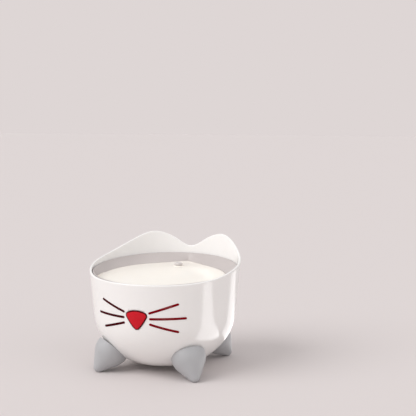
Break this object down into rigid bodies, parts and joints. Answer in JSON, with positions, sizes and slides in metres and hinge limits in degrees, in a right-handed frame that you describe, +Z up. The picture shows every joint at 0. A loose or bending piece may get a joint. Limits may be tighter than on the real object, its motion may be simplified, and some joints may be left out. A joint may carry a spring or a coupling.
{
  "type": "pet water fountain",
  "caption": "Round white pet water fountain with an eared rim, cone feet, a nose window and whiskers, a lift-out drinking dish, a filter cartridge and a submersible pump.",
  "frame": {"origin": "on the floor under the bowl's axis", "axes": "+Z up, -Y towards the front with the nose, +X to the right seen from the front"},
  "size_m": [0.2042, 0.2039, 0.17],
  "materials": {
    "shell_white": "glossy moulded white plastic",
    "nose_red": "glossy tinted lens",
    "whisker_maroon": "satin raised strips",
    "foot_grey": "soft-touch moulded rubber",
    "seal_rubber": "matte rubber",
    "grommet_rubber": "matte rubber",
    "dish_white": "glossy moulded plastic",
    "collar_grey": "satin moulded plastic",
    "filter_plastic": "matte moulded plastic",
    "carbon_pad": "bonded carbon felt",
    "fleece_pad": "white fibre fleece",
    "pump_plastic": "matte moulded plastic",
    "core_steel": "stacked laminations",
    "coil_copper": "lacquered copper winding",
    "potting_resin": "cast resin",
    "window_clear": "clear moulded plastic",
    "board_green": "solder-masked board",
    "emitter_clear": "cast epoxy",
    "pin_steel": "drawn stainless pins",
    "shaft_ceramic": "ground ceramic",
    "magnet_ferrite": "sintered ferrite",
    "pump_sponge": "open-cell sponge"
  },
  "bodies": {
    "bowl": {"reservoir_shell": "shell_white", "nose_window": "nose_red", "nose_gasket": "seal_rubber", "whiskers_right": "whisker_maroon", "whiskers_left": "whisker_maroon", "cord_grommet": "grommet_rubber", "foot_front_left": "foot_grey", "foot_front_right": "foot_grey", "foot_rear_left": "foot_grey", "foot_rear_right": "foot_grey"},
    "dish": {"drinking_dish": "dish_white", "splash_collar": "collar_grey", "filter_holder": "filter_plastic", "riser_seal": "seal_rubber"},
    "nozzle": {"nozzle": "dish_white"},
    "filter": {"filter_frame": "filter_plastic", "filter_lid": "filter_plastic", "filter_carbon": "carbon_pad", "filter_fleece": "fleece_pad"},
    "pump": {"pump_housing": "pump_plastic", "suction_cups": "seal_rubber", "motor_core": "core_steel", "motor_coil": "coil_copper", "motor_potting": "potting_resin", "light_window": "window_clear", "light_board": "board_green", "light_emitter": "emitter_clear", "level_pins": "pin_steel", "cord_gland": "seal_rubber", "riser_tube": "pump_plastic", "impeller_shaft": "shaft_ceramic", "front_bush": "seal_rubber"},
    "pump_cover": {"pump_cover": "pump_plastic", "pump_foam": "pump_sponge", "rear_bush": "seal_rubber"},
    "rotor": {"rotor_magnet": "magnet_ferrite", "impeller": "pump_plastic"}
  },
  "joints": [
    {"name": "dish_lift", "type": "slide", "parent": "bowl", "child": "dish", "axis": [0, 0, 1], "range_m": [0, 0.1]},
    {"name": "nozzle_pull", "type": "slide", "parent": "dish", "child": "nozzle", "axis": [0, 0, 1], "range_m": [0, 0.01]},
    {"name": "filter_release", "type": "slide", "parent": "dish", "child": "filter", "axis": [0, 0, -1], "range_m": [0, 0.02]},
    {"name": "pump_lift", "type": "slide", "parent": "bowl", "child": "pump", "axis": [0, 0, 1], "range_m": [0, 0.008]},
    {"name": "cover_pull", "type": "slide", "parent": "pump", "child": "pump_cover", "axis": [0, 1, 0], "range_m": [0, 0.008]},
    {"name": "rotor_spin", "type": "hinge", "parent": "pump", "child": "rotor", "pos_m": [0, 0.03, 0.044], "axis": [0, 1, 0], "continuous": true}
  ]
}
